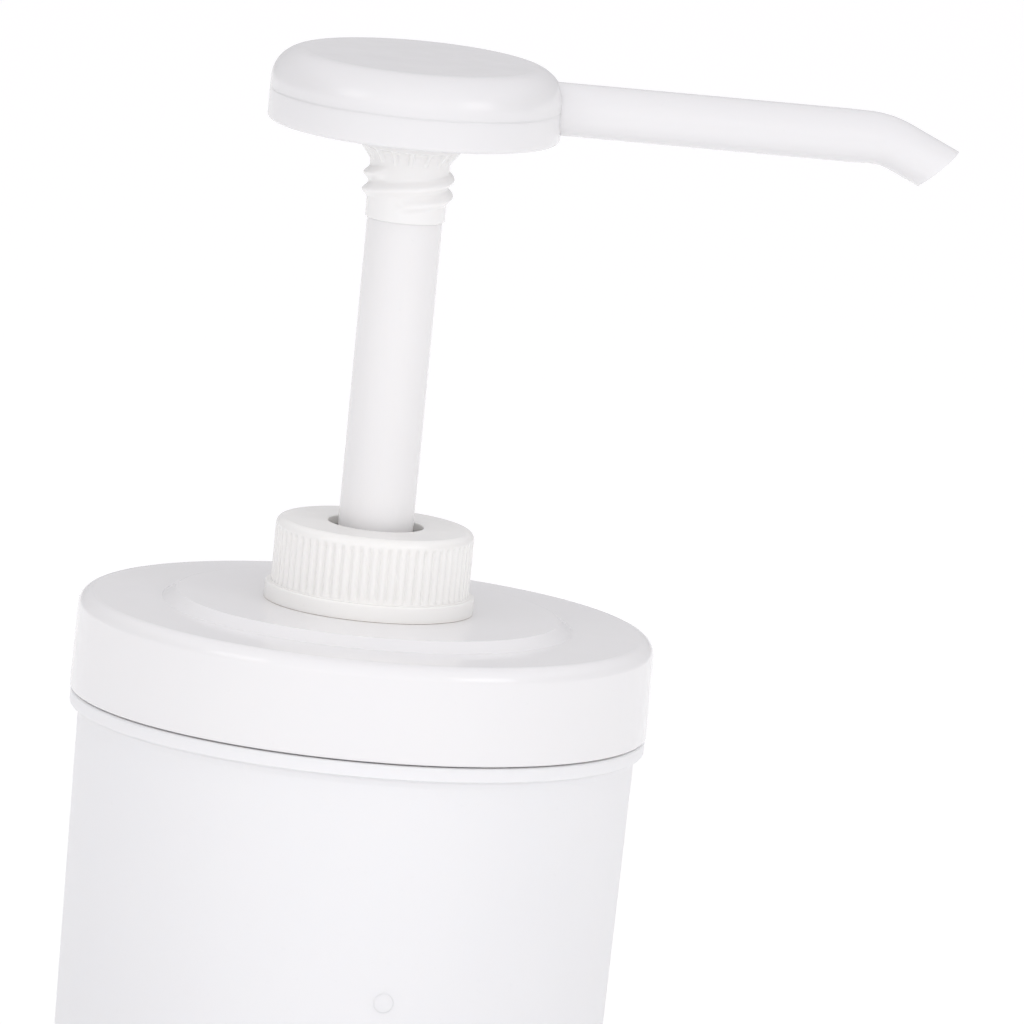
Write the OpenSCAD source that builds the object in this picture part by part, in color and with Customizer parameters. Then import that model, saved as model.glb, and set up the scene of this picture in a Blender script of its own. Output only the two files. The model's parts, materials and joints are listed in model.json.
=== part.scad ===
// Condiment pump dispenser: a round jar, a push-on lid and a one-ounce plunger pump.
// Origin at the centre of the jar's foot, +Z up, spout along +X. All sizes in millimetres.

/* [Jar] */
// Height of the jar's rim above the table
jar_h = 157.5; // [155:0.5:158]
// Outer radius of the jar wall just under the flange
jar_r = 55.5; // [55.3:0.1:55.8]
// Outer radius of the jar wall at the foot
jar_foot_r = 53; // [52:0.25:54]
// Wall thickness of the jar
jar_wall = 2.2; // [2:0.1:2.4]
// Radius of the flange that the lid's skirt stops over
flange_r = 57.3; // [57:0.1:57.5]
// Height of the straight part of the flange
flange_h = 2.5; // [2:0.1:3]

/* [Lid] */
// Height of the lid's lower edge above the table
lid_edge_z = 142; // [141.5:0.1:142.2]
// Outer radius of the lid at its lower edge
lid_r = 57.6; // [57.5:0.1:58]
// Height of the lid's flat top above its lower edge
lid_h = 19.5; // [19.5:0.1:20]
// Radius of the rounded edge round the lid's top
lid_edge_r = 3; // [2:0.5:3.5]
// Thickness of the lid's top
lid_top_t = 2.4; // [2.2:0.1:2.6]
// Radius of the foot of the raised middle of the lid
plateau_r = 41; // [38:0.5:44]
// Height of the raised middle above the lid's top
plateau_h = 1.9; // [1.6:0.1:2]

/* [Screw cap] */
// Outer radius of the cap over its ribs
cap_r = 19.75; // [19.6:0.05:20]
// Radius of the smooth ring round the cap's foot
cap_ring_r = 20.9; // [20.5:0.1:21.5]
// Height of the smooth ring
cap_ring_h = 3.3; // [3:0.1:4]
// Number of grip grooves round the cap
groove_count = 64; // [48:1:66]
// Radius of the hole that the stem passes through
cap_hole_r = 9.5; // [9.4:0.1:10]
// Rise of the cap in one turn of its thread
cap_pitch = 4.2; // [4:0.1:4.3]

/* [Pump] */
// Bore radius of the pump's barrel
bore_r = 11.8; // [11.7:0.05:11.9]
// Free stroke of the plunger
stroke = 66; // [50:0.5:66]
// Outer radius of the stem
stem_r = 7.5; // [7.4:0.05:7.5]
// Bore radius of the stem
stem_bore_r = 4.8; // [4.6:0.1:4.9]
// Wire diameter of the return spring
wire_d = 1.2; // [1:0.1:1.3]
// Number of open coils in the return spring
open_coils = 8; // [6:1:9]
// Height of the dip tube's lowest point above the table
tube_end_z = 6; // [5:0.5:10]

/* [Head and spout] */
// Radius of the push head
head_r = 29.5; // [28.5:0.1:30]
// Height of the head's rim above the table
head_z = 259.2; // [259:0.1:260]
// Height of the seam between pan and cover above the rim
seam_h = 6.3; // [6.2:0.1:6.5]
// Radius of the head's rounded upper edge
head_edge_r = 6; // [5.8:0.1:6]
// Outer radius of the spout
spout_r = 5.3; // [5.2:0.05:5.4]
// Bore radius of the spout
spout_bore_r = 3.6; // [3.4:0.1:3.6]
// Distance from the pump's axis to where the spout starts to bend
spout_straight = 90; // [60:1:110]
// Angle that the spout bends down by
spout_bend = 25; // [15:1:35]
// Distance from the end of the bend to the middle of the tip
spout_end = 8.6; // [6:0.1:12]

/* [Hidden] */
$fn = 96;

fit = 0.02;     // radial gap between pieces that are pressed together
slide = 0.08;   // radial gap of a sliding fit
over = 1;       // how far a cutting shape runs past what it cuts

// jar
neck_r = 54.5;
foot_ring_r = 40;
foot_recess = 1;
jar_floor = 3.6;
foot_edge_r = 4;
floor_edge_r = 3;
flange_gap = 0.6;
flange_top_z = lid_edge_z - flange_gap;
flange_low_z = flange_top_z - flange_h;
flange_chamfer = flange_r - jar_r;

// lid, from its lower edge up
lid_top_z = lid_edge_z + lid_h;
lid_under_z = lid_top_z - lid_top_t;
skirt_r = neck_r + slide;
lid_draft = 0.25;
plateau_z = lid_top_z + plateau_h;
plateau_bevel = 2.8;
finish_h = 10.2;
finish_root_r = 16.9;
finish_thread_r = 18.05;
finish_bore_r = 14.6;
finish_top_z = plateau_z + finish_h;
seal_r = 51.6;

// the stack clamped between the lid's neck and the cap
gasket_t = 1;
barrel_flange_t = 1.4;
bushing_flange_t = 1.2;
slip_t = 0.8;
stack_r = 17.2;
gasket_z = finish_top_z;
barrel_flange_z = gasket_z + gasket_t;
bushing_flange_z = barrel_flange_z + barrel_flange_t;
slip_z = bushing_flange_z + bushing_flange_t;
cap_roof_z = slip_z + slip_t;

// screw cap
cap_low_z = plateau_z + 0.1;
cap_roof_t = 1.8;
cap_top_z = cap_roof_z + cap_roof_t;
cap_bore_r = 18.3;
cap_thread_r = 17.15;
cap_edge_r = 2;
groove_r = 0.5;
groove_top_z = cap_top_z - 2.6;
ring_top_z = cap_low_z + cap_ring_h;
groove_low_z = ring_top_z + 0.4;
thread_foot = 1.1;
thread_crest = 0.6;
finish_thread_z = finish_top_z - 5.7;
cap_thread_z = finish_thread_z - cap_pitch / 2;

// barrel and its lower valve
barrel_wall = 1.5;
barrel_floor_z = 56;
barrel_floor_t = 2;
barrel_collar_r = 14.4;
barrel_collar_h = 8;
pocket_bore_r = 7.5;
pocket_r = 9.2;
pocket_low_z = 38;
floor_hole_r = 7.2;
inlet_ball_r = 4.5;
inlet_seat_r = 3.2;
inlet_seat_z = 45.5;
inlet_cup_r = 5.3;
inlet_cup_z = 52;
seat_flange_t = 4;
tube_r = 5;
tube_bore_r = 3.8;
tube_top_z = 42;
ball_lift = 2;
ball_rest_gap = 0.05;
inlet_ball_z = inlet_seat_z + sqrt(pow(inlet_ball_r, 2) - pow(inlet_seat_r, 2)) + ball_rest_gap;
cage_top_z = barrel_floor_z + 1.5;
cage_bar_z = inlet_ball_z + inlet_ball_r + ball_lift + ball_rest_gap;
cage_r = 10.8;
cage_bar_w = 2;

// bushing and wiper
bushing_low_z = 162;
bushing_r = bore_r - 2 * fit;
lock_bore_r = 9.5;
lock_land_z = 166.2;
wiper_pocket_z = 164.6;
wiper_r = 10;
lock_lead = 6.7;
lock_foot = 0.95;
lock_crest = 0.25;
lock_female_r = 8.35;
lock_female_z = 168;

// plunger, from the spring up
spring_pressed_h = 21.7;    // length of the spring at the end of the stroke
washer_low_z = cage_top_z + spring_pressed_h + stroke;
washer_t = 1.2;
seat_low_z = washer_low_z + washer_t;
piston_low_z = seat_low_z + 2;
piston_hub_z = piston_low_z + 10.5;
piston_top_z = bushing_low_z - 0.1;
piston_r = bore_r - 0.05;
spigot_r = 6.5;
outlet_ball_r = 4;
outlet_seat_r = 3;
outlet_seat_z = piston_low_z + 4;
outlet_ball_z = outlet_seat_z + sqrt(pow(outlet_ball_r, 2) - pow(outlet_seat_r, 2)) + ball_rest_gap;
stop_low_z = outlet_ball_z + outlet_ball_r + ball_lift + ball_rest_gap;
stop_t = 2;
spring_r = 8.6;
spring_sides = 6;
coil_steps = 16;
closed_pitch = wire_d + 0.1;

// hub under the head
hub_low_z = head_z - 18;
hub_r = 8;
hub_socket_r = 6;
hub_socket_top_z = hub_low_z + 15.2;
hub_seal_t = 1.6;
boss_r = 10.8;
boss_low_z = hub_low_z + 12.6;
flare_r = 2;
gusset_count = 8;
lock_male_r = 9.2;
lock_male_z = hub_low_z + 5.3;
lock_start = -110;
lock_sweep = 350;

// head
seam_z = head_z + seam_h;
head_wall = 1.8;
head_plate_z = head_z + 0.3;
head_plate_t = 2;
rim_edge_r = 0.8;
cover_side_h = 1.8;
cover_crown = 0.4;
cover_t = 2;
cover_edge_z = seam_z + cover_side_h;
cover_top_z = cover_edge_z + head_edge_r;
cover_flat_r = head_r - head_edge_r;
crown_r = (pow(cover_flat_r, 2) + pow(cover_crown, 2)) / (2 * cover_crown);
snap_h = 2;
snap_t = 1.2;
cover_inner_r = head_r - head_wall - snap_t;
hub_top_z = seam_z + 4.4;
hub_inner_r = 8.6;
socket_r = 5.9;
socket_end_x = 20;
plug_r = 4.5;
plug_start_x = 8.9;
spout_seal_t = 1.5;
channel_r = 6.1;
notch_r = spout_r + 0.05;

// spout
spout_z = seam_z + 0.4;
bend_r = 15;
tip_slant = 21;
spout_step = 0.15;
spout_lap = 1;
bend_lap = 4;

// Takes the sharp corner at (x, y) off a profile and leaves a true arc of radius r.
// sx and sy are 1 or -1 and point out of the corner.
module round_corner(x, y, r, sx, sy) {
    translate([x - sx * r, y - sy * r])
        scale([sx, sy])
            difference() {
                square(r + over);
                circle(r);
            }
}

module ring(inner, outer, low, high) {
    rotate_extrude() translate([inner, low]) square([outer - inner, high - low]);
}

module rod(r, low, high) {
    translate([0, 0, low]) cylinder(h = high - low, r = r);
}

module x_rod(r, start, end) {
    translate([start, 0, spout_z]) rotate([0, 90, 0]) cylinder(h = end - start, r = r);
}

// A screw ridge round Z: foot_r is buried in the wall, tip_r is the crest, a is the start angle.
module ridge(foot_r, tip_r, foot, crest, z, lead, a, sweep) {
    steps = ceil(sweep / 10);
    fade = 4;
    shape = [[0, -foot], [1, -crest], [1, crest], [0, foot]];
    sides = tip_r > foot_r ? [0, 1, 2, 3] : [3, 2, 1, 0];
    points = [for (i = [0:steps], k = sides)
        let (t = i / steps,
             grow = min(1, (i + 0.4) / fade, (steps - i + 0.4) / fade),
             r = foot_r + (tip_r - foot_r) * shape[k][0] * grow,
             turn = a + sweep * t)
        [r * cos(turn), r * sin(turn), z + lead * sweep * t / 360 + shape[k][1]]];
    polyhedron(points, swept_faces(steps, 4));
}

// Faces of a tube of rings with n points each, closed at both ends.
function swept_faces(steps, n) = concat(
    [[for (k = [n - 1:-1:0]) k]],
    [for (i = [0:steps - 1], k = [0:n - 1])
        [i * n + k, (i + 1) * n + (k + 1) % n, (i + 1) * n + k]],
    [for (i = [0:steps - 1], k = [0:n - 1])
        [i * n + k, i * n + (k + 1) % n, (i + 1) * n + (k + 1) % n]],
    [[for (k = [0:n - 1]) steps * n + k]]
);

module jar() {
    color("white")
        rotate_extrude()
            difference() {
                polygon([
                    [0, 0], [jar_foot_r, 0], [jar_r, flange_low_z - flange_chamfer],
                    [flange_r, flange_low_z], [flange_r, flange_top_z], [neck_r, flange_top_z],
                    [neck_r, jar_h], [0, jar_h]
                ]);
                round_corner(jar_foot_r, 0, foot_edge_r, 1, -1);
                round_corner(neck_r, jar_h, 0.6, 1, 1);
                difference() {
                    polygon([
                        [0, jar_floor], [jar_foot_r - jar_wall, jar_floor],
                        [jar_r - jar_wall - 0.4, flange_low_z - 4], [neck_r - jar_wall, flange_low_z],
                        [neck_r - jar_wall, jar_h + over], [0, jar_h + over]
                    ]);
                    round_corner(jar_foot_r - jar_wall, jar_floor, floor_edge_r, 1, -1);
                }
                translate([0, -over]) square([foot_ring_r, foot_recess + over]);
            }
}

module lid() {
    color("white") {
        rotate_extrude()
            difference() {
                polygon([
                    [0, lid_edge_z], [lid_r, lid_edge_z], [lid_r - lid_draft, lid_top_z],
                    [plateau_r, lid_top_z], [plateau_r - 1, plateau_z - 0.5],
                    [plateau_r - plateau_bevel, plateau_z], [finish_root_r, plateau_z],
                    [finish_root_r, finish_top_z], [0, finish_top_z]
                ]);
                round_corner(lid_r - lid_draft, lid_top_z, lid_edge_r, 1, 1);
                round_corner(lid_r, lid_edge_z, 0.5, 1, -1);
                polygon([
                    [0, lid_edge_z - over], [skirt_r, lid_edge_z - over], [skirt_r, lid_under_z],
                    [plateau_r - plateau_bevel - 1, lid_under_z],
                    [plateau_r - plateau_bevel - 2.5, plateau_z - lid_top_t],
                    [0, plateau_z - lid_top_t]
                ]);
                square([finish_bore_r, finish_top_z + over]);
            }
        ridge(finish_root_r - 0.3, finish_thread_r, thread_foot, thread_crest,
              finish_thread_z, cap_pitch, 0, 306);
    }
}

module lid_seal_ring() {
    color("whitesmoke") ring(seal_r, neck_r - fit, jar_h, lid_under_z);
}

module neck_gasket() {
    color("whitesmoke") ring(finish_bore_r, stack_r - 0.3, gasket_z, gasket_z + gasket_t);
}

module pump_barrel() {
    color("ghostwhite")
        rotate_extrude()
            difference() {
                polygon([
                    [floor_hole_r, barrel_floor_z - barrel_floor_t], [pocket_bore_r, pocket_low_z],
                    [pocket_r, pocket_low_z], [pocket_r, barrel_floor_z - barrel_floor_t],
                    [bore_r + barrel_wall - 1, barrel_floor_z - barrel_floor_t],
                    [bore_r + barrel_wall, barrel_floor_z - barrel_floor_t + 1],
                    [bore_r + barrel_wall, barrel_flange_z - barrel_collar_h],
                    [barrel_collar_r, barrel_flange_z - barrel_collar_h + 1],
                    [barrel_collar_r, barrel_flange_z], [stack_r, barrel_flange_z],
                    [stack_r, bushing_flange_z], [floor_hole_r, bushing_flange_z]
                ]);
                translate([0, barrel_floor_z])
                    square([bore_r, bushing_flange_z - barrel_floor_z + over]);
                translate([0, pocket_low_z - over])
                    square([pocket_bore_r, barrel_floor_z - barrel_floor_t - pocket_low_z + over]);
            }
}

module lock_bushing() {
    color("white") {
        rotate_extrude()
            difference() {
                union() {
                    translate([stem_r + slide, bushing_low_z])
                        square([bushing_r - stem_r - slide, slip_z - bushing_low_z]);
                    translate([stem_r + slide, bushing_flange_z])
                        square([stack_r - stem_r - slide, bushing_flange_t]);
                }
                translate([0, lock_land_z]) square([lock_bore_r, slip_z]);
                translate([0, bushing_low_z - over])
                    square([wiper_r, wiper_pocket_z - bushing_low_z + over]);
            }
        for (a = [0, 180])
            ridge(lock_bore_r + 0.3, lock_female_r, lock_foot, lock_crest,
                  lock_female_z, lock_lead, a, 350);
    }
}

module stem_wiper() {
    color("gainsboro")
        rotate_extrude()
            polygon([
                [stem_r + slide - fit, bushing_low_z + 0.9], [wiper_r - 1.6, bushing_low_z + 0.9],
                [wiper_r - 1, bushing_low_z], [wiper_r - fit, bushing_low_z],
                [wiper_r - fit, wiper_pocket_z], [stem_r + slide - fit, wiper_pocket_z]
            ]);
}

module inlet_valve_seat() {
    color("ghostwhite")
        rotate_extrude()
            difference() {
                union() {
                    translate([0, pocket_low_z]) square([pocket_bore_r - fit, inlet_cup_z - pocket_low_z]);
                    translate([0, pocket_low_z - seat_flange_t]) square([pocket_r, seat_flange_t]);
                }
                round_corner(pocket_r, pocket_low_z - seat_flange_t, 1, 1, -1);
                square([inlet_seat_r, inlet_cup_z]);
                translate([0, inlet_seat_z]) square([inlet_cup_r, inlet_cup_z]);
                square([tube_r + fit, tube_top_z]);
            }
}

module inlet_ball() {
    color("silver") translate([0, 0, inlet_ball_z]) sphere(inlet_ball_r);
}

module ball_cage() {
    color("ghostwhite") {
        ring(floor_hole_r - 1.2, cage_r, barrel_floor_z, cage_top_z);
        ring(floor_hole_r - 1.2, floor_hole_r - fit, cage_bar_z, cage_top_z);
        for (a = [0, 90])
            rotate(a)
                translate([1 - floor_hole_r, -cage_bar_w / 2, cage_bar_z])
                    cube([2 * (floor_hole_r - 1), cage_bar_w, cage_top_z - cage_bar_z]);
    }
}

module dip_tube() {
    color("ghostwhite")
        difference() {
            rod(tube_r, tube_end_z, tube_top_z);
            rod(tube_bore_r, tube_end_z - over, tube_top_z + over);
            translate([0, 0, tube_end_z])
                rotate([0, 40, 0])
                    translate([0, -tube_r - over, -4 * tube_r])
                        cube([4 * tube_r, 2 * (tube_r + over), 4 * tube_r]);
        }
}

// Closed coils at both ends and open coils between them, at the length the pump holds it at.
module return_spring() {
    low = cage_top_z + wire_d / 2;
    high = washer_low_z - wire_d / 2;
    turns = open_coils + 2;
    open_pitch = (high - low - 2 * closed_pitch) / open_coils;
    steps = turns * coil_steps;
    points = [for (i = [0:steps], k = [0:spring_sides - 1])
        let (t = i / coil_steps,
             z = low + closed_pitch * min(t, 1) + open_pitch * min(max(t - 1, 0), open_coils)
                 + closed_pitch * max(t - 1 - open_coils, 0),
             side = 360 * k / spring_sides,
             r = spring_r + wire_d / 2 * cos(side))
        [r * cos(360 * t), r * sin(360 * t), z + wire_d / 2 * sin(side)]];
    color("silver") polyhedron(points, swept_faces(steps, spring_sides));
}

module cap_slip_washer() {
    color("whitesmoke") ring(cap_hole_r + 0.2, stack_r - 0.2, slip_z, slip_z + slip_t);
}

module screw_cap() {
    color("ivory") {
        difference() {
            rotate_extrude()
                difference() {
                    polygon([
                        [cap_hole_r, cap_low_z], [cap_ring_r, cap_low_z],
                        [cap_ring_r, ring_top_z - 0.6], [cap_ring_r - 0.6, ring_top_z],
                        [cap_r, ring_top_z], [cap_r, cap_top_z], [cap_hole_r, cap_top_z]
                    ]);
                    round_corner(cap_r, cap_top_z, cap_edge_r, 1, 1);
                    round_corner(cap_ring_r, cap_low_z, 0.6, 1, -1);
                    translate([0, cap_low_z - over]) square([cap_bore_r, cap_roof_z - cap_low_z + over]);
                }
            for (i = [0:groove_count - 1])
                rotate(360 * i / groove_count)
                    translate([cap_r, 0, groove_low_z])
                        cylinder(h = groove_top_z - groove_low_z, r = groove_r, $fn = 24);
        }
        ridge(cap_bore_r + 0.3, cap_thread_r, thread_foot, thread_crest,
              cap_thread_z, cap_pitch, 0, 324);
    }
}

module spring_thrust_washer() {
    color("silver") ring(7, 10.2, washer_low_z, washer_low_z + washer_t);
}

module stem() {
    color("white")
        difference() {
            union() {
                rod(stem_r, piston_hub_z, hub_low_z);
                rod(spigot_r, piston_low_z, piston_hub_z + over);
                rod(hub_socket_r - fit, hub_low_z - over, hub_socket_top_z - hub_seal_t);
            }
            rod(stem_bore_r, piston_low_z - over, hub_socket_top_z + over);
        }
}

module piston() {
    lip = 2.2;
    color("gainsboro")
        rotate_extrude()
            difference() {
                polygon([
                    [spigot_r + fit, piston_low_z], [piston_r - 0.5, piston_low_z],
                    [piston_r, piston_low_z + 0.8], [piston_r, piston_low_z + lip],
                    [piston_r - 0.8, piston_low_z + lip + 1], [piston_r - 0.8, piston_top_z - lip - 1],
                    [piston_r, piston_top_z - lip], [piston_r, piston_top_z - 0.8],
                    [piston_r - 0.5, piston_top_z], [piston_r - 1.7, piston_top_z],
                    [piston_r - 2, piston_hub_z - 4], [spigot_r + 1.8, piston_hub_z - 4],
                    [spigot_r + 1.8, piston_hub_z], [spigot_r + fit, piston_hub_z]
                ]);
                translate([spigot_r + 1.8, piston_low_z - over]) square([1.6, 4 + over]);
            }
}

module outlet_valve_seat() {
    color("ghostwhite")
        rotate_extrude()
            difference() {
                union() {
                    translate([0, seat_low_z]) square([10, piston_low_z - seat_low_z]);
                    translate([0, seat_low_z]) square([stem_bore_r - fit, outlet_seat_z + 1 - seat_low_z]);
                }
                square([outlet_seat_r, outlet_seat_z + 2]);
                polygon([
                    [0, outlet_seat_z], [outlet_seat_r, outlet_seat_z],
                    [outlet_seat_r + 1, outlet_seat_z + 1], [outlet_seat_r + 1, outlet_seat_z + 2],
                    [0, outlet_seat_z + 2]
                ]);
            }
}

module outlet_ball() {
    color("silver") translate([0, 0, outlet_ball_z]) sphere(outlet_ball_r);
}

module outlet_ball_stop() {
    color("ghostwhite") {
        ring(stem_bore_r - 0.9, stem_bore_r - fit, stop_low_z, stop_low_z + stop_t);
        for (a = [0, 90])
            rotate(a)
                translate([0.5 - stem_bore_r, -0.7, stop_low_z])
                    cube([2 * (stem_bore_r - 0.5), 1.4, stop_t]);
    }
}

// The outer shape of the hub: threaded sleeve, hollow flare and boss under the head.
module hub_outside() {
    rotate_extrude()
        difference() {
            polygon([
                [0, hub_low_z], [hub_r - 0.4, hub_low_z], [hub_r, hub_low_z + 0.6],
                [hub_r, boss_low_z - flare_r], [hub_r + 0.4, boss_low_z - flare_r + 0.2],
                [boss_r, boss_low_z], [boss_r, head_plate_z + over], [0, head_plate_z + over]
            ]);
            translate([boss_r, boss_low_z - flare_r]) circle(boss_r - hub_r - 0.8);
        }
    for (a = [0:gusset_count - 1])
        rotate(360 * a / gusset_count)
            translate([hub_r - 1, -0.6, boss_low_z - flare_r - 1])
                cube([boss_r - hub_r + 0.6, 1.2, flare_r + 2]);
}

module head_pan() {
    color("white") {
        difference() {
            union() {
                rotate_extrude()
                    difference() {
                        translate([0, head_z]) square([head_r, seam_h]);
                        round_corner(head_r, head_z, rim_edge_r, 1, -1);
                        translate([0, head_z - over])
                            square([head_r - head_wall, head_plate_z - head_z + over]);
                        translate([0, head_plate_z + head_plate_t])
                            square([head_r - head_wall, seam_h]);
                    }
                rod(hub_inner_r, head_plate_z, hub_top_z);
                x_rod(socket_r, 0, socket_end_x);
                hub_outside();
            }
            rod(hub_socket_r, hub_low_z - over, hub_socket_top_z);
            rod(stem_bore_r, hub_socket_top_z - over, hub_top_z - 1.5);
            x_rod(spout_bore_r, 0, socket_end_x + over);
            x_rod(plug_r, plug_start_x - spout_seal_t, socket_end_x + over);
            x_rod(notch_r, socket_end_x, head_r + over);
        }
        for (a = [0, 180])
            ridge(hub_r - 0.3, lock_male_r, lock_foot, lock_crest,
                  lock_male_z + lock_lead * lock_start / 360, lock_lead, lock_start + a, lock_sweep);
    }
}

module head_cover() {
    color("white")
        difference() {
            rotate_extrude()
                difference() {
                    union() {
                        intersection() {
                            translate([0, seam_z])
                                square([head_r, cover_top_z + cover_crown - seam_z]);
                            translate([0, cover_top_z + cover_crown - crown_r]) circle(crown_r, $fn = 256);
                        }
                        translate([0, seam_z - snap_h])
                            square([head_r - head_wall - fit, snap_h + over]);
                    }
                    round_corner(head_r, cover_top_z, head_edge_r, 1, 1);
                    difference() {
                        translate([0, seam_z - snap_h - over])
                            square([cover_inner_r, cover_top_z - cover_t - seam_z + snap_h + over]);
                        round_corner(cover_inner_r, cover_top_z - cover_t, head_edge_r - cover_t, 1, 1);
                    }
                }
            x_rod(channel_r, 0, socket_end_x);
            rod(hub_inner_r + 0.2, seam_z - snap_h - over, hub_top_z + 0.2);
            x_rod(notch_r, socket_end_x - over, head_r + over);
        }
}

module stem_seal_ring() {
    color("dimgray")
        ring(stem_bore_r + 0.1, hub_socket_r - fit, hub_socket_top_z - hub_seal_t, hub_socket_top_z);
}

// A round tube along X at the spout's height.
module x_tube(inner, outer, start, end) {
    difference() {
        x_rod(outer, start, end);
        x_rod(inner, start - over, end + over);
    }
}

// The spout's last stretch, cut off on the slant, along +X from just before the origin.
module spout_tip(inner, outer) {
    translate([-spout_lap, 0, 0])
        rotate([0, 90, 0])
            difference() {
                cylinder(h = spout_end + 3 * outer, r = outer);
                translate([0, 0, -over]) cylinder(h = spout_end + 4 * outer, r = inner);
                translate([0, 0, spout_end + spout_lap])
                    rotate([0, tip_slant, 0])
                        translate([-4 * outer, -4 * outer, 0]) cube(8 * outer);
            }
}

// The spout narrows a little from stretch to stretch, so that each one seats in the one before.
module spout() {
    color("white") {
        x_tube(spout_bore_r, plug_r - fit, plug_start_x, socket_end_x);
        x_tube(spout_bore_r, spout_r, socket_end_x, spout_straight);
        translate([spout_straight, 0, spout_z - bend_r]) {
            rotate([90, 0, 0])
                rotate(90 - spout_bend)
                    rotate_extrude(angle = spout_bend + bend_lap)
                        translate([bend_r, 0])
                            difference() {
                                circle(spout_r - spout_step);
                                circle(spout_bore_r + spout_step);
                            }
            rotate([0, spout_bend, 0])
                translate([0, 0, bend_r])
                    spout_tip(spout_bore_r + 2 * spout_step, spout_r - 2 * spout_step);
        }
    }
}

module spout_seal_ring() {
    color("dimgray")
        x_tube(spout_bore_r, plug_r - fit, plug_start_x - spout_seal_t, plug_start_x);
}

jar();
lid();
lid_seal_ring();
neck_gasket();
pump_barrel();
lock_bushing();
stem_wiper();
inlet_valve_seat();
inlet_ball();
ball_cage();
dip_tube();
return_spring();
cap_slip_washer();
screw_cap();
spring_thrust_washer();
stem();
piston();
outlet_valve_seat();
outlet_ball();
outlet_ball_stop();
head_pan();
head_cover();
stem_seal_ring();
spout();
spout_seal_ring();
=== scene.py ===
import json
import math

import bpy
import bmesh
from mathutils import Matrix, Vector


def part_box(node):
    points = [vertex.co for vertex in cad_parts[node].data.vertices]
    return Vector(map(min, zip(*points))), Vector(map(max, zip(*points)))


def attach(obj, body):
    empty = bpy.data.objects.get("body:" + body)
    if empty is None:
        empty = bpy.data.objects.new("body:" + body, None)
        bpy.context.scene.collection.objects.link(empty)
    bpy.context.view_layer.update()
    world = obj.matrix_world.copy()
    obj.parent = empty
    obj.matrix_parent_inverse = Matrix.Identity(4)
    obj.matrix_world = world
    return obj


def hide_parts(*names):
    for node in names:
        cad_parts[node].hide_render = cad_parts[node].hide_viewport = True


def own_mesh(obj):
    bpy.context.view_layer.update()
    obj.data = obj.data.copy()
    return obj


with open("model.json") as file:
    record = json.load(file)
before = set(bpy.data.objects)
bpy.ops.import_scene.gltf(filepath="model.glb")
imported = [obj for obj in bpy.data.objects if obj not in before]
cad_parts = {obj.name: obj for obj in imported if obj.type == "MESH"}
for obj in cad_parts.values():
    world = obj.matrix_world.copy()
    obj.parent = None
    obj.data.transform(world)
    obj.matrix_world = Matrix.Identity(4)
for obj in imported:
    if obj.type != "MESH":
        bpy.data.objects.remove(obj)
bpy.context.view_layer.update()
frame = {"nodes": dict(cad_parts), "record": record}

MM = 0.001
TAU = 2 * math.pi


# ---------------------------------------------------------------- sizes, from the frame, in metres

def low(node):
    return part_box(node)[0]


def high(node):
    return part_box(node)[1]


JAR_RIM_Z = high("jar").z
FLANGE_R = high("jar").x
LID_EDGE_Z = low("lid").z
LID_R = high("lid").x
LID_NECK_TOP_Z = high("lid").z
CAP_LOW_Z = low("screw_cap").z
CAP_TOP_Z = high("screw_cap").z
CAP_RING_R = high("screw_cap").x
HEAD_R = high("head_cover").x
HEAD_TOP_Z = high("head_cover").z
HUB_LOW_Z = low("head_pan").z
HUB_TO_SEAM = 24.3 * MM
HUB_TO_RIM = 18 * MM
SEAM_Z = HUB_LOW_Z + HUB_TO_SEAM
SPOUT_R = high("spout").y
SPOUT_Z = high("spout").z - SPOUT_R
SPRING_LOW_Z = low("return_spring").z
SPRING_HIGH_Z = high("return_spring").z


# ---------------------------------------------------------------- mesh helpers

def mesh_object(name, verts, faces, sharp_degrees=38):
    """A smooth-shaded object from plain vertex and face lists."""
    mesh = bpy.data.meshes.new(name)
    mesh.from_pydata(verts, [], faces)
    mesh.validate()
    bm = bmesh.new()
    bm.from_mesh(mesh)
    bmesh.ops.recalc_face_normals(bm, faces=bm.faces)
    bm.to_mesh(mesh)
    bm.free()
    obj = bpy.data.objects.new(name, mesh)
    bpy.context.scene.collection.objects.link(obj)
    smooth(obj, sharp_degrees)
    return obj


def smooth(obj, sharp_degrees=38):
    """Smooth shading with sharp edges kept and normals led by the large faces."""
    obj.data.polygons.foreach_set("use_smooth", [True] * len(obj.data.polygons))
    obj.data.set_sharp_from_angle(angle=math.radians(sharp_degrees))
    modifier = obj.modifiers.new("even_normals", "WEIGHTED_NORMAL")
    modifier.keep_sharp = True
    modifier.weight = 60


def fillet(before, corner, after, radius, steps):
    """Points of the arc that rounds a corner of a profile."""
    a, c, b = Vector(before), Vector(corner), Vector(after)
    to_a, to_b = (a - c), (b - c)
    reach = min(to_a.length, to_b.length) * 0.49
    to_a.normalize()
    to_b.normalize()
    half = math.acos(max(-1, min(1, to_a.dot(to_b)))) / 2
    if half > math.radians(89) or radius <= 0:
        return [tuple(c)]
    tangent = min(radius / math.tan(half), reach)
    radius = tangent * math.tan(half)
    centre = c + (to_a + to_b).normalized() * (radius / math.sin(half))
    start, end = c + to_a * tangent - centre, c + to_b * tangent - centre
    turn = math.atan2(start.x * end.y - start.y * end.x, start.dot(end))
    points = []
    for i in range(steps + 1):
        t = turn * i / steps
        points.append((centre.x + start.x * math.cos(t) - start.y * math.sin(t),
                       centre.y + start.x * math.sin(t) + start.y * math.cos(t)))
    return points


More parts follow.
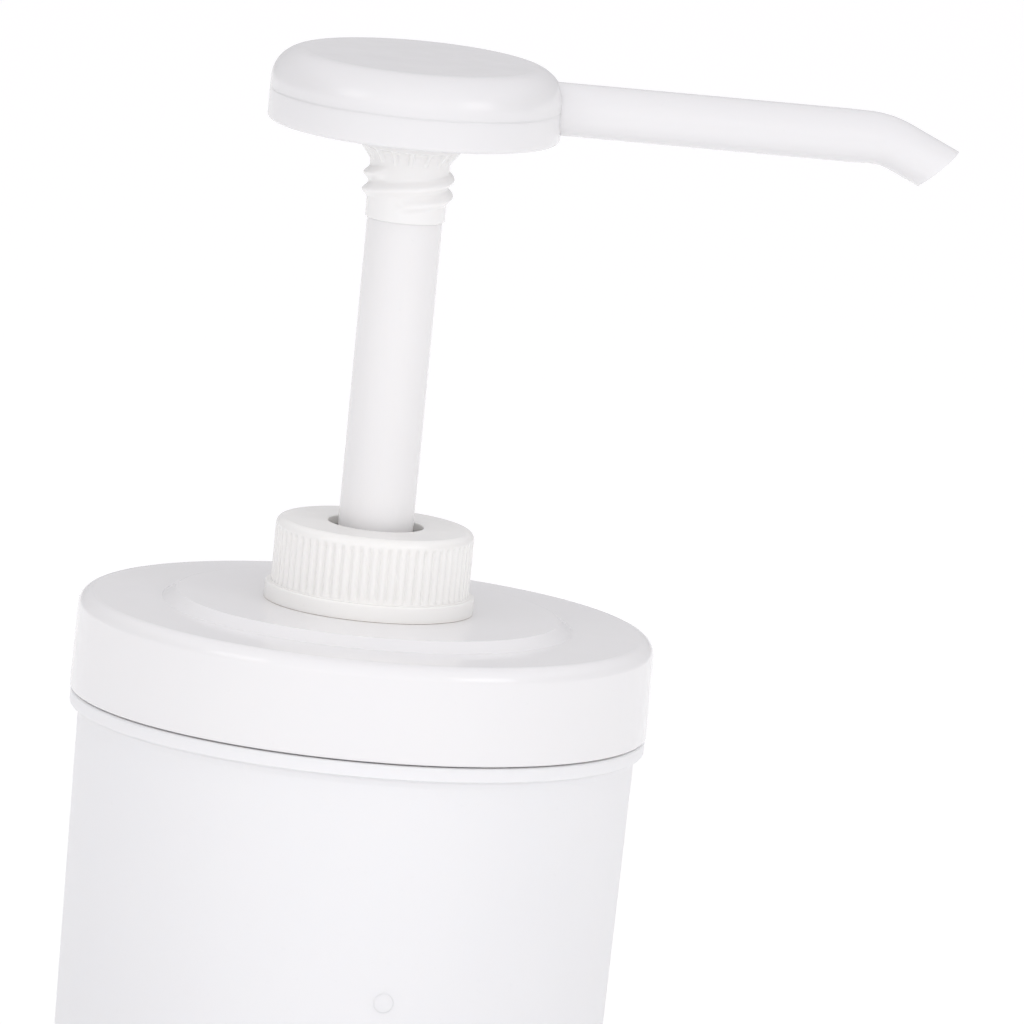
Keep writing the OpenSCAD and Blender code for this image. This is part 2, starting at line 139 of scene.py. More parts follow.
def outline(corners, closed=True, steps=5):
    """A profile from (radius, height, fillet, rows) corners in mm.

    rows adds that many rows of points up to the next corner. A fillet never takes more than half of an edge.
    """
    full = [tuple(c) + (0,) * (4 - len(c)) for c in corners]
    count = len(full)
    profile = []
    for i, (r, z, round_r, rows) in enumerate(full):
        inner = closed or 0 < i < count - 1
        if round_r and inner:
            arc = fillet(full[i - 1][:2], (r, z), full[(i + 1) % count][:2], round_r, steps)
        else:
            arc = [(r, z)]
        profile += [(point, 0) for point in arc]
        profile[-1] = (profile[-1][0], rows)
    points = []
    for i, (point, rows) in enumerate(profile):
        points.append(point)
        after = profile[(i + 1) % len(profile)][0]
        for k in range(rows):
            t = (k + 1) / (rows + 1)
            points.append((point[0] + (after[0] - point[0]) * t, point[1] + (after[1] - point[1]) * t))
    return points


def lathe(name, profile, sides, closed=True, shape=None, sharp_degrees=38):
    """Turns a profile in mm round Z. shape(angle, r, z) may return another r and z."""
    verts, rings = [], []
    for r, z in profile:
        if r < 1e-6:
            rings.append([len(verts)])
            verts.append((0, 0, z * MM))
            continue
        ring = []
        for k in range(sides):
            angle = TAU * k / sides
            rr, zz = shape(angle, r, z) if shape else (r, z)
            ring.append(len(verts))
            verts.append((rr * math.cos(angle) * MM, rr * math.sin(angle) * MM, zz * MM))
        rings.append(ring)
    faces = []
    spans = len(rings) if closed else len(rings) - 1
    for i in range(spans):
        a, b = rings[i], rings[(i + 1) % len(rings)]
        if len(a) == 1 and len(b) == 1:
            continue
        for k in range(sides):
            n = (k + 1) % sides
            if len(a) == 1:
                faces.append((a[0], b[n], b[k]))
            elif len(b) == 1:
                faces.append((a[k], a[n], b[0]))
            else:
                faces.append((a[k], a[n], b[n], b[k]))
    return mesh_object(name, verts, faces, sharp_degrees)


def step(low_edge, high_edge, x):
    t = max(0.0, min(1.0, (x - low_edge) / (high_edge - low_edge)))
    return t * t * (3 - 2 * t)


def thread_height(angle, z, start_z, lead, start, sweep, foot, crest):
    """0 on the wall to 1 on the crest of a screw ridge, at an angle and a height in mm.

    start and sweep are in degrees; foot and crest are half widths in mm.
    """
    best = 0.0
    turn = math.degrees(angle)
    for lap in range(-3, 4):
        along = turn + 360 * lap - start
        if not -6 < along < sweep + 6:
            continue
        middle = start_z + lead * along / 360
        flank = 1 - step(crest, foot, abs(z - middle))
        ends = step(0, 26, along) * step(0, 26, sweep - along)
        best = max(best, flank * ends)
    return best


def sweep_tube(name, path, radius, bore=0.0, sides=48, cut=None, sharp_degrees=38):
    """A wire or a tube along points in metres.

    radius may be a list with one value for each point. cut is a plane (point, normal) at the end.
    """
    count = len(path)
    tangents = [(path[min(i + 1, count - 1)] - path[max(i - 1, 0)]).normalized() for i in range(count)]
    side = Vector((0, 1, 0)) if abs(tangents[0].y) < 0.9 else Vector((0, 0, 1))
    verts, rings = [], []

    def add_ring(i, r):
        nonlocal side
        tangent = tangents[i]
        side = (side - tangent * side.dot(tangent)).normalized()
        up = tangent.cross(side)
        ring = []
        for k in range(sides):
            angle = TAU * k / sides
            p = path[i] + (side * math.cos(angle) + up * math.sin(angle)) * r
            if cut and i == count - 1:
                p = p + tangent * ((cut[0] - p).dot(cut[1]) / tangent.dot(cut[1]))
            ring.append(len(verts))
            verts.append(tuple(p))
        rings.append(ring)

    for i in range(count):
        add_ring(i, radius[i] if isinstance(radius, list) else radius)
    if bore:
        for i in reversed(range(count)):
            add_ring(i, bore)
    faces = []
    for i in range(len(rings) if bore else len(rings) - 1):
        a, b = rings[i], rings[(i + 1) % len(rings)]
        for k in range(sides):
            n = (k + 1) % sides
            faces.append((a[k], a[n], b[n], b[k]))
    if not bore:
        faces += [tuple(rings[0]), tuple(rings[-1])]
    return mesh_object(name, verts, faces, sharp_degrees)


def cut_away(obj, cutter):
    """Takes one closed shape out of another for good."""
    for m in list(obj.modifiers):
        obj.modifiers.remove(m)
    modifier = obj.modifiers.new("cut", "BOOLEAN")
    modifier.operation = "DIFFERENCE"
    modifier.solver = "EXACT"
    modifier.object = cutter
    bpy.context.view_layer.update()
    cut_mesh = bpy.data.meshes.new_from_object(obj.evaluated_get(bpy.context.evaluated_depsgraph_get()))
    obj.modifiers.clear()
    obj.data = cut_mesh
    bpy.data.objects.remove(cutter)
    smooth(obj)


def bevelled(obj, width, segments=2, angle_degrees=50):
    """Rounds the edges that a cut left sharp."""
    modifier = obj.modifiers.new("soft_edges", "BEVEL")
    modifier.width = width * MM
    modifier.segments = segments
    modifier.limit_method = "ANGLE"
    modifier.angle_limit = math.radians(angle_degrees)
    modifier.harden_normals = False
    return obj


# ---------------------------------------------------------------- materials

class Nodes:
    """Short names for the shader nodes that the materials share."""

    def __init__(self, name):
        self.material = bpy.data.materials.new(name)
        self.material.use_nodes = True
        self.tree = self.material.node_tree
        self.shader = self.tree.nodes["Principled BSDF"]
        self.place = self.tree.nodes.new("ShaderNodeTexCoord").outputs["Object"]

    def link(self, a, b):
        self.tree.links.new(a, b)

    def scaled(self, x, y, z):
        mapping = self.tree.nodes.new("ShaderNodeMapping")
        mapping.inputs["Scale"].default_value = (x, y, z)
        self.link(self.place, mapping.inputs["Vector"])
        return mapping.outputs["Vector"]

    def noise(self, scale, detail=3, rough=0.5, vector=None, distortion=0.0):
        node = self.tree.nodes.new("ShaderNodeTexNoise")
        node.inputs["Scale"].default_value = scale
        node.inputs["Detail"].default_value = detail
        node.inputs["Roughness"].default_value = rough
        node.inputs["Distortion"].default_value = distortion
        self.link(vector or self.place, node.inputs["Vector"])
        return node.outputs["Fac"]

    def spread(self, value, from_low, from_high, to_low, to_high):
        node = self.tree.nodes.new("ShaderNodeMapRange")
        numbers = (from_low, from_high, to_low, to_high)
        for name, number in zip(("From Min", "From Max", "To Min", "To Max"), numbers):
            node.inputs[name].default_value = number
        self.link(value, node.inputs["Value"])
        return node.outputs["Result"]

    def math(self, operation, a, b=None, clamp=False):
        node = self.tree.nodes.new("ShaderNodeMath")
        node.operation = operation
        node.use_clamp = clamp
        for socket, value in zip(node.inputs, (a, b)):
            if value is None:
                continue
            if isinstance(value, (int, float)):
                socket.default_value = value
            else:
                self.link(value, socket)
        return node.outputs[0]

    def mix(self, factor, a, b):
        node = self.tree.nodes.new("ShaderNodeMix")
        node.data_type = "RGBA"
        sockets = [s for s in node.inputs if s.enabled]
        for socket, value in zip(sockets, (factor, a, b)):
            if isinstance(value, (int, float)):
                socket.default_value = value
            elif isinstance(value, tuple):
                socket.default_value = value + (1,)
            else:
                self.link(value, socket)
        return next(s for s in node.outputs if s.enabled)

    def edge_mask(self, radius):
        """1 on a convex or concave edge narrower than radius, 0 on open surface."""
        bevel = self.tree.nodes.new("ShaderNodeBevel")
        bevel.samples = 4
        bevel.inputs["Radius"].default_value = radius * MM
        plain = self.tree.nodes.new("ShaderNodeNewGeometry").outputs["Normal"]
        dot = self.tree.nodes.new("ShaderNodeVectorMath")
        dot.operation = "DOT_PRODUCT"
        self.link(bevel.outputs["Normal"], dot.inputs[0])
        self.link(plain, dot.inputs[1])
        return self.spread(dot.outputs["Value"], 0.96, 0.75, 0, 1)

    def painted_gap_mask(self, distance):
        """1 deep in a gap, 0 in the open: an occlusion mask for painting shade and light into gaps."""
        node = self.tree.nodes.new("ShaderNodeAmbientOcclusion")
        node.samples = 4
        node.inputs["Distance"].default_value = distance * MM
        return self.spread(node.outputs["AO"], 0.42, 0.10, 0, 1)

    def bumps(self, *layers):
        """Stacks (height, strength, depth in mm) layers of bump."""
        normal = None
        for height, strength, depth in layers:
            node = self.tree.nodes.new("ShaderNodeBump")
            node.inputs["Strength"].default_value = strength
            node.inputs["Distance"].default_value = depth * MM
            self.link(height, node.inputs["Height"])
            if normal:
                self.link(normal, node.inputs["Normal"])
            normal = node.outputs["Normal"]
        self.link(normal, self.shader.inputs["Normal"])

    def put(self, **values):
        for name, value in values.items():
            socket = self.shader.inputs[name.replace("_", " ")]
            if isinstance(value, (int, float)):
                socket.default_value = value
            elif isinstance(value, tuple):
                socket.default_value = value if len(value) == len(socket.default_value) else value + (1,)
            else:
                self.link(value, socket)
        return self.material


def moulded(name, colour, shade, painted_gap_colour, rough, grain, milky, gap_reach=2.5, waviness=0.25, painted_gap_share=0.2,
            pale_below=None):
    """Moulded plastic: clouded pigment, uneven gloss, fine grain, faint scuffs, rubbed edges, and painted shade
    in gaps (a painted warm light on the cap).

    Below pale_below (metres) the colour is painted paler, as painted light for the light that the thin wall lets
    through.
    """
    n = Nodes(name)
    clouds = n.noise(30, 2, 0.45)
    flow = n.noise(1, 2, 0.5, n.scaled(70, 70, 18))
    tone = n.mix(n.spread(clouds, 0.3, 0.7, 0, 1), colour, shade)
    tone = n.mix(n.spread(flow, 0.35, 0.75, 0, 0.3), tone, shade)
    specks = n.spread(n.noise(900, 1), 0.74, 0.80, 0, 0.25)
    tone = n.mix(specks, tone, tuple(c * 0.93 for c in shade))
    # painted shade: gaps and recesses mixed towards the gap colour; on the cap this is a painted warm light
    tone = n.mix(n.math("MULTIPLY", n.painted_gap_mask(gap_reach), painted_gap_share), tone, painted_gap_colour)
    # painted light: the hub below pale_below painted paler, as if lit through its thin wall
    if pale_below:
        height = n.tree.nodes.new("ShaderNodeSeparateXYZ")
        n.link(n.place, height.inputs[0])
        painted_pale_share = n.spread(height.outputs["Z"], pale_below - 2 * MM, pale_below + 2 * MM, 0.9, 0)
        tone = n.mix(painted_pale_share, tone, (0.925, 0.918, 0.905))
    worn = n.edge_mask(0.35)
    tone = n.mix(n.math("MULTIPLY", worn, 0.12), tone, tuple(min(1.0, c * 1.03) for c in colour))
    scuffs = n.spread(n.noise(1, 4, 0.65, n.scaled(220, 220, 3200), 0.3), 0.60, 0.75, 0, 1)
    scuffs = n.math("MULTIPLY", scuffs, n.spread(n.noise(45, 2), 0.5, 0.62, 0, 1))
    gloss = n.spread(n.noise(110, 3, 0.55), 0.3, 0.7, rough * 0.92, rough * 1.1)
    gloss = n.math("ADD", gloss, n.math("MULTIPLY", scuffs, 0.03))
    gloss = n.math("ADD", gloss, n.math("MULTIPLY", worn, 0.03), clamp=True)
    waves, pits = n.noise(55, 1), n.noise(1500, 2, 0.5)
    n.bumps((waves, waviness, 0.010), (pits, grain, 0.0015), (scuffs, 0.04, 0.001))
    return n.put(Base_Color=tone, Roughness=gloss, IOR=1.49, Subsurface_Weight=milky,
                 Subsurface_Radius=(1.0, 0.95, 0.9), Subsurface_Scale=0.002)


def translucent(name, colour, shade, rough, clear):
    """Unpigmented plastic that lets some light through, cloudier where it is thick."""
    n = Nodes(name)
    clouds = n.noise(60, 4, 0.6, distortion=0.5)
    tone = n.mix(n.spread(clouds, 0.3, 0.7, 0, 1), colour, shade)
    lines = n.spread(n.noise(1, 3, 0.6, n.scaled(700, 700, 40)), 0.4, 0.7, 0, 1)
    gloss = n.spread(n.noise(220, 4), 0.3, 0.7, rough * 0.85, rough * 1.2)
    gloss = n.math("ADD", gloss, n.math("MULTIPLY", n.edge_mask(0.3), 0.06), clamp=True)
    n.bumps((lines, 0.25, 0.01), (n.noise(1600, 2), 0.15, 0.01))
    return n.put(Base_Color=tone, Roughness=gloss, IOR=1.49, Transmission_Weight=clear,
                 Subsurface_Weight=0.15, Subsurface_Scale=0.002)


def elastic(name, colour, shade, rough):
    """Silicone, foam or rubber: dull, with a fine open grain and a dusting on its edges."""
    n = Nodes(name)
    tone = n.mix(n.spread(n.noise(90, 4, 0.6), 0.3, 0.7, 0, 1), colour, shade)
    rubbed = tuple(min(1.0, c * 1.15 + 0.02) for c in colour)
    tone = n.mix(n.math("MULTIPLY", n.edge_mask(0.3), 0.25), tone, rubbed)
    pores = n.tree.nodes.new("ShaderNodeTexVoronoi")
    pores.inputs["Scale"].default_value = 2400
    n.link(n.place, pores.inputs["Vector"])
    gloss = n.spread(n.noise(300, 3), 0.3, 0.7, rough * 0.9, min(1.0, rough * 1.12))
    n.bumps((pores.outputs["Distance"], 0.3, 0.02), (n.noise(1800, 2), 0.2, 0.01))
    return n.put(Base_Color=tone, Roughness=gloss, IOR=1.45)


def drawn_steel(name, colour, shade, rough, stretch):
    """Stainless steel with drawing lines or a fine polish, slightly uneven in tone."""
    n = Nodes(name)
    lines = n.noise(1, 4, 0.65, n.scaled(*stretch))
    tone = n.mix(n.spread(lines, 0.3, 0.7, 0, 1), colour, shade)
    # painted shade: the steel darkened in gaps and recesses
    tone = n.mix(n.math("MULTIPLY", n.painted_gap_mask(1.5), 0.6), tone, tuple(c * 0.55 for c in shade))
    gloss = n.spread(lines, 0.3, 0.7, rough * 0.75, rough * 1.35)
    gloss = n.math("ADD", gloss, n.spread(n.noise(350, 3), 0.45, 0.7, 0, 0.05), clamp=True)
    n.bumps((lines, 0.2, 0.004), (n.noise(2200, 3), 0.1, 0.004))
    return n.put(Base_Color=tone, Roughness=gloss, Metallic=1.0)


def make_materials():
    # gap colours: painted shade (grey and warm) and a painted warm light for the cap's hole
    painted_gap_shade, painted_warm_gap_shade, painted_warm_gap_light = (0.70, 0.67, 0.65), (0.72, 0.66, 0.60), (0.97, 0.89, 0.80)
    hub_top = HUB_LOW_Z + HUB_TO_RIM - 2 * MM
    made = {}
    for name, colour, shade, painted_gap_colour, rough, grain, milky, more in (
        ("jar", (0.890, 0.889, 0.897), (0.880, 0.880, 0.892), painted_gap_shade, 0.36, 0.25, 0.3, {"gap_reach": 1.6}),
        ("lid", (0.885, 0.879, 0.880), (0.878, 0.871, 0.878), painted_gap_shade, 0.13, 0.10, 0.15, {"waviness": 0.15}),
        ("cap", (0.950, 0.942, 0.918), (0.940, 0.930, 0.903), painted_warm_gap_light, 0.24, 0.15, 0.15, {"painted_gap_share": 0.8}),
        ("stem", (0.862, 0.854, 0.852), (0.854, 0.845, 0.844), painted_warm_gap_shade, 0.22, 0.10, 0.2, {}),
        ("head", (0.838, 0.832, 0.836), (0.830, 0.824, 0.831), painted_gap_shade, 0.21, 0.12, 0.2, {"pale_below": hub_top}),
        ("pump", (0.90, 0.86, 0.80), (0.89, 0.85, 0.79), painted_warm_gap_shade, 0.33, 0.2, 0.2, {}),
    ):
        slot = name + "_plastic"
        made[slot] = moulded(slot, colour, shade, painted_gap_colour, rough, grain, milky, **more)
    made["natural_plastic"] = translucent("natural_plastic", (0.86, 0.87, 0.87), (0.80, 0.81, 0.81), 0.34, 0.55)
    for slot, colour, shade, rough in (
        ("soft_plastic", (0.70, 0.73, 0.76), (0.64, 0.67, 0.71), 0.5),
        ("silicone", (0.82, 0.82, 0.80), (0.76, 0.76, 0.74), 0.55),
        ("gasket_foam", (0.78, 0.78, 0.74), (0.70, 0.70, 0.66), 0.85),
        ("seal_rubber", (0.030, 0.030, 0.033), (0.045, 0.045, 0.048), 0.6),
    ):
        made[slot] = elastic(slot, colour, shade, rough)
    for slot, colour, shade, rough, stretch in (
        ("spring_steel", (0.62, 0.61, 0.60), (0.50, 0.50, 0.50), 0.28, (900, 900, 220)),
        ("ball_steel", (0.78, 0.78, 0.79), (0.70, 0.70, 0.71), 0.09, (500, 500, 500)),
    ):
        made[slot] = drawn_steel(slot, colour, shade, rough, stretch)
    return made


def finish_piece(obj, materials, slot_name, body, *nodes):
    obj.data.materials.clear()
    obj.data.materials.append(materials[slot_name])
    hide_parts(*nodes)
    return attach(obj, body)


# ---------------------------------------------------------------- pieces

JAR_FOOT_R = 53.0        # mm
FLANGE_PROUD = 1.8       # mm, how far the flange stands out from the wall
WALL_TOP_DROP = 4.9      # mm, from the lid's edge down to the top of the drafted wall


def build_jar(materials):
    """Blow-moulded jar: rolled foot, recessed base, drafted wall, flange and a neck for the lid."""
    rim = JAR_RIM_Z / MM
    flange_r = FLANGE_R / MM
    gap = 0.3
    flange_top = LID_EDGE_Z / MM - gap
    flange_low = LID_EDGE_Z / MM - 3.1
    neck_r, wall = 54.5, 2.2
    wall_top_r, foot_r = flange_r - FLANGE_PROUD, JAR_FOOT_R
    profile = outline([
        (0, 1.0, 0), (8, 1.0, 0), (40, 1.0, 0.8), (40.6, 0, 0.5), (foot_r, 0, 4.0, 0),
        (wall_top_r, LID_EDGE_Z / MM - WALL_TOP_DROP, 1.0), (wall_top_r + 0.3, flange_low - 0.55, 0.5),
        (wall_top_r + 0.9, flange_low - 0.25, 0.2), (flange_r, flange_low, 0.3), (flange_r, flange_top, 0.5),
        (neck_r, flange_top, 0.4), (neck_r, rim, 0.6), (neck_r - wall, rim, 0.5),
        (neck_r - wall, flange_low, 1.5), (wall_top_r - wall - 0.4, flange_low - 4, 2.0),
        (foot_r - wall, 3.6, 3.0), (0, 3.6),
    ], closed=False, steps=7)
    jar = lathe("jar_body", profile, 288, closed=False)
    return finish_piece(jar, materials, "jar_plastic", "jar", "jar")


def build_jar_mark(materials):
    """The faint round gate mark low on the jar's front."""
    across, height, r, proud, sunk = 8.9, 93.7, 2.2, 0.05, 0.15
    draft = (FLANGE_R / MM - FLANGE_PROUD - JAR_FOOT_R) / (LID_EDGE_Z / MM - WALL_TOP_DROP)
    wall = JAR_FOOT_R + draft * height
    profile = outline([(0, proud), (r - 0.35, proud, 0.1), (r, -sunk)], closed=False)
    mark = lathe("jar_mark", profile, 64, closed=False)
    azimuth = math.asin(across / wall)
    out = Vector((math.sin(azimuth), -math.cos(azimuth), 0))
    mark.data.transform(Matrix.Translation((out * wall + Vector((0, 0, height))) * MM)
                        @ out.to_track_quat("Z", "X").to_matrix().to_4x4())
    mark.data.materials.append(materials["jar_plastic"])
    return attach(mark, "jar")


def build_lid(materials):
    """Push-on lid: rolled edge, raised middle with a bevelled rim, and the screw neck under the cap."""
    edge, top = LID_EDGE_Z / MM, LID_EDGE_Z / MM + 19.5
    plateau, neck_top = top + 1.9, LID_NECK_TOP_Z / MM
    r, skirt, bore = LID_R / MM, 54.58, 14.6
    root, crest = 16.9, 18.05
    profile = outline([
        (bore, neck_top, 0.4), (bore, plateau - 2.4, 0.3), (35.7, plateau - 2.4, 0.8), (37.2, top - 2.4, 0.8),
        (skirt, top - 2.4, 0.6), (skirt, edge, 0.4), (r, edge, 0.5), (r - 0.25, top, 3.0),
        (41, top, 0.4), (38.2, plateau, 0.4),
        (root, plateau, 0.6, 44), (root, neck_top, 0.5),
    ], steps=6)

    def thread(angle, rr, z):
        if abs(rr - root) < 0.02:
            grow = thread_height(angle, z, neck_top - 5.7, 4.2, 0, 306, 1.1, 0.45)
            return rr + (crest - root) * grow, z
        return rr, z

    lid = lathe("lid_body", profile, 288, shape=thread)
    return finish_piece(lid, materials, "lid_plastic", "lid", "lid")


def build_cap(materials):
    """Ribbed screw cap with a smooth foot ring, a rolled top edge and a moulded thread inside."""
    foot, top = CAP_LOW_Z / MM, CAP_TOP_Z / MM
    ring_r, rib_r, hole, bore = CAP_RING_R / MM, 19.75, 9.5, 18.3
    roof, ring_top = top - 1.8, CAP_LOW_Z / MM + 3.3
    grooves, depth, half_width = 64, 0.5, 0.62
    groove_low, groove_top = ring_top + 0.1, top - 1.6
    profile = outline([
        (hole, roof, 0.2), (bore, roof, 0.5, 26), (bore, foot, 0.4), (ring_r, foot - 0.07, 0.15),
        (ring_r, ring_top, 0.6), (rib_r, ring_top, 0.15, 24), (rib_r, top, 1.6), (hole, top, 0.3),
    ], steps=6)

    def ribs(angle, rr, z):
        if abs(rr - rib_r) < 0.02 and ring_top - 0.1 < z < top - 1.55:
            pitch = TAU / grooves
            off = (angle / pitch - math.floor(angle / pitch) - 0.5) * pitch * rib_r
            dip = math.cos(min(1, abs(off) / half_width) * math.pi / 2) ** 1.3
            ends = step(groove_low, groove_low + 0.8, z) * step(0, 0.9, groove_top - z)
            return rr - depth * dip * ends, z
        if abs(rr - bore) < 0.02 and foot + 0.4 < z < roof - 0.4:
            grow = thread_height(angle, z, LID_NECK_TOP_Z / MM - 7.8, 4.2, 0, 324, 1.1, 0.45)
            return rr - 1.15 * grow, z
        return rr, z

    cap = lathe("cap_body", profile, grooves * 10, shape=ribs, sharp_degrees=48)
    return finish_piece(cap, materials, "cap_plastic", "cap", "screw_cap")


def build_stem(materials):
    """Long drawn tube from the piston up into the head's hub."""
    low_z, spigot_low = HUB_LOW_Z / MM, low("stem").z / MM
    tip = high("stem").z / MM
    r, spigot, socket, bore = high("stem").x / MM, 6.5, 5.98, 4.8
    hub = spigot_low + 10.5
    profile = outline([
        (bore, spigot_low, 0.3), (spigot, spigot_low, 0.5), (spigot, hub, 0.2),
        (r, hub, 0.4, 8), (r, low_z, 0.05),
        (socket, low_z, 0.2), (socket, tip, 0.4), (bore, tip, 0.3, 8),
    ], steps=4)
    stem = lathe("stem_tube", profile, 128)
    return finish_piece(stem, materials, "stem_plastic", "plunger", "stem")


def x_cylinder(name, r, start, end, z):
    path = [Vector((start * MM, 0, z * MM)), Vector((end * MM, 0, z * MM))]
    return sweep_tube(name, path, r * MM, sides=64)


SEAM_HALF = 0.3          # mm, half the height of the shallow groove where the head's shells meet
SEAM_SUNK = 0.05         # mm, its depth


def build_head_pan(materials):
    """Lower shell: rim, plate, the spout's socket, and the hub with its flare, webs and lock thread."""
    head_z = (HUB_LOW_Z + HUB_TO_RIM) / MM
    seam = SEAM_Z / MM
    plate, r, wall = head_z + 0.3, HEAD_R / MM, 1.8
    low_z, boss_z = HUB_LOW_Z / MM, HUB_LOW_Z / MM + 14.5
    hub_r, boss_r, male, socket = 7.95, 10.6, 9.1, 6.0
    thread_z, lead, start, sweep, foot, crest = low_z + 5.3, 6.7, -110, 350, 1.6, 0.0
    webs, web_proud, flare_h = 16, 0.8, 3.0
    profile = outline([
        (socket, low_z + 15.2, 0.2), (socket, low_z, 0.25), (hub_r, low_z, 0.35, 100),
        (hub_r, boss_z + 0.8, 0), (boss_r, boss_z + 1.2, 0), (boss_r, plate, 0.6),
        (r - wall, plate, 0.25), (r - wall - 0.1, head_z, 0.2), (r, head_z, 0.8),
        (r, seam - SEAM_HALF, 0.1), (r - SEAM_SUNK, seam, 0),
        (r - wall, seam, 0.2), (r - wall, plate + 2, 0.6), (8.6, plate + 2, 0.5), (8.6, seam + 4.4, 0.4),
        (4.8, seam + 4.4, 0.3), (4.8, low_z + 15.2, 0.2),
    ], steps=5)

    def hub(angle, rr, z):
        if rr < hub_r - 0.02 or rr > hub_r + 0.02 or not low_z + 0.35 < z < boss_z + 0.9:
            return rr, z
        first_z = thread_z + lead * start / 360
        grow = max(thread_height(angle, z, first_z, lead, start + turn, sweep, foot, crest) for turn in (0, 180))
        up = max(0.0, min(1.0, (z - boss_z + flare_h) / flare_h))
        hollow = 1 - math.sqrt(1 - up * up)
        pitch = TAU / webs
        off = abs((angle / pitch - math.floor(angle / pitch + 0.5)) * pitch) * 9
        web = web_proud * (1 - step(0.25, 0.6, off))
        flare = (boss_r - 0.2 - hub_r) * (hollow + (max(up, hollow) - hollow) * web)
        return hub_r + max(flare, (male - hub_r) * grow), z

    pan = lathe("head_pan_body", profile, 384, shape=hub, sharp_degrees=44)
    cut_away(pan, x_cylinder("spout_notch", SPOUT_R / MM + 0.1, 20, r + 2, SPOUT_Z / MM))
    return finish_piece(pan, materials, "head_plastic", "plunger", "head_pan")


def build_head_cover(materials):
    """Upper shell: an almost flat push face with a rolled edge, snapped into the pan."""
    seam = SEAM_Z / MM
    r, top = HEAD_R / MM, HEAD_TOP_Z / MM
    edge_r, crown = 6.5, 0.05
    flat_r = r - edge_r
    shares = [1 - k / 8 for k in range(1, 9)]
    crown_points = [(flat_r * t, top - crown + crown * (1 - t ** 2), 0) for t in shares]
    middle_z = top - crown - edge_r
    roll = [(flat_r + edge_r * math.cos(a), middle_z + edge_r * math.sin(a), 0)
            for a in (math.radians(90 * k / 24) for k in range(25))]
    inner = r - 1.8 - 1.2
    profile = outline([
        (0, top - crown - 2.0, 0), (inner, top - crown - 2.0, 5.0), (inner, seam - 2, 0.3),
        (r - 1.82, seam - 2, 0.3), (r - 1.82, seam, 0.1),
        (r - SEAM_SUNK, seam, 0), (r, seam + SEAM_HALF, 0.1),
    ] + roll + crown_points, closed=False, steps=8)
    cover = lathe("head_cover_body", profile, 288, closed=False)
    cut_away(cover, x_cylinder("cover_notch", SPOUT_R / MM + 0.1, 20, r + 2, SPOUT_Z / MM))
    return finish_piece(cover, materials, "head_plastic", "plunger", "head_cover")


def build_spout(materials):
    """Long delivery tube, bent down and slightly drawn in near its end, and cut off on the slant."""
    axis_z = SPOUT_Z / MM
    r, bore, straight, bend_r, bend, end, slant = SPOUT_R / MM, 3.6, 90.0, 15.0, 25.0, 8.6, 21.0
    path = [Vector((x, 0, axis_z)) for x in (8.9, 9.2, 19.9, 20.3)]
    path += [Vector((20.3 + (straight - 20.3) * k / 16, 0, axis_z)) for k in range(1, 17)]
    for k in range(1, 17):
        a = math.radians(bend * k / 16)
        path.append(Vector((straight + bend_r * math.sin(a), 0, axis_z - bend_r * (1 - math.cos(a)))))
    a = math.radians(bend)
    along = Vector((math.cos(a), 0, -math.sin(a)))
    start = path[-1].copy()
    path += [start + along * (end * k / 5) for k in range(1, 6)]
    radii = [(r - 0.3 * step(86, 97, p.x)) * MM for p in path]
    path = [p * MM for p in path]
    c = math.radians(bend + slant)
    normal = Vector((math.cos(c), 0, -math.sin(c)))
    spout = sweep_tube("spout_tube", path, radii, bore * MM, 72, (path[-1], normal), sharp_degrees=40)
    bevelled(spout, 0.3)
    return finish_piece(spout, materials, "head_plastic", "plunger", "spout")


def build_spring(materials):
    """Round stainless wire: open coils between closed and ground end coils."""
    wire, mean, coils, per_turn = 1.2, 8.6, 8, 40
    low_z, high_z = SPRING_LOW_Z / MM + wire / 2, SPRING_HIGH_Z / MM - wire / 2
    closed_pitch = wire + 0.1
    open_pitch = (high_z - low_z - 2 * closed_pitch) / coils
    path = []
    for i in range((coils + 2) * per_turn + 1):
        t = i / per_turn
        z = low_z + closed_pitch * min(t, 1) + open_pitch * min(max(t - 1, 0), coils) \
            + closed_pitch * max(t - 1 - coils, 0)
        path.append(Vector((mean * math.cos(TAU * t), mean * math.sin(TAU * t), z)) * MM)
    spring = sweep_tube("spring_coil", path, wire / 2 * MM, sides=14, sharp_degrees=60)
    finish_piece(spring, materials, "spring_steel", "lid", "return_spring")
    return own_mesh(spring)


# ---------------------------------------------------------------- stage

def paint_frame(materials):
    """Gives every carried-over CAD node its own finish."""
    slots = {p["node"]: p["material_slot"] for p in frame["record"]["subparts"]}
    for name, obj in frame["nodes"].items():
        for material_slot in obj.material_slots:
            material_slot.material = materials[slots[name]]


FLOOR_GLOW = 0.35           # the floor round the object is a light table
GLOW_START = (0.09, 0.28)   # metres from the jar's axis over which the glow comes in
GLOW_END = (2.2, 4.5)       # metres over which it dies away


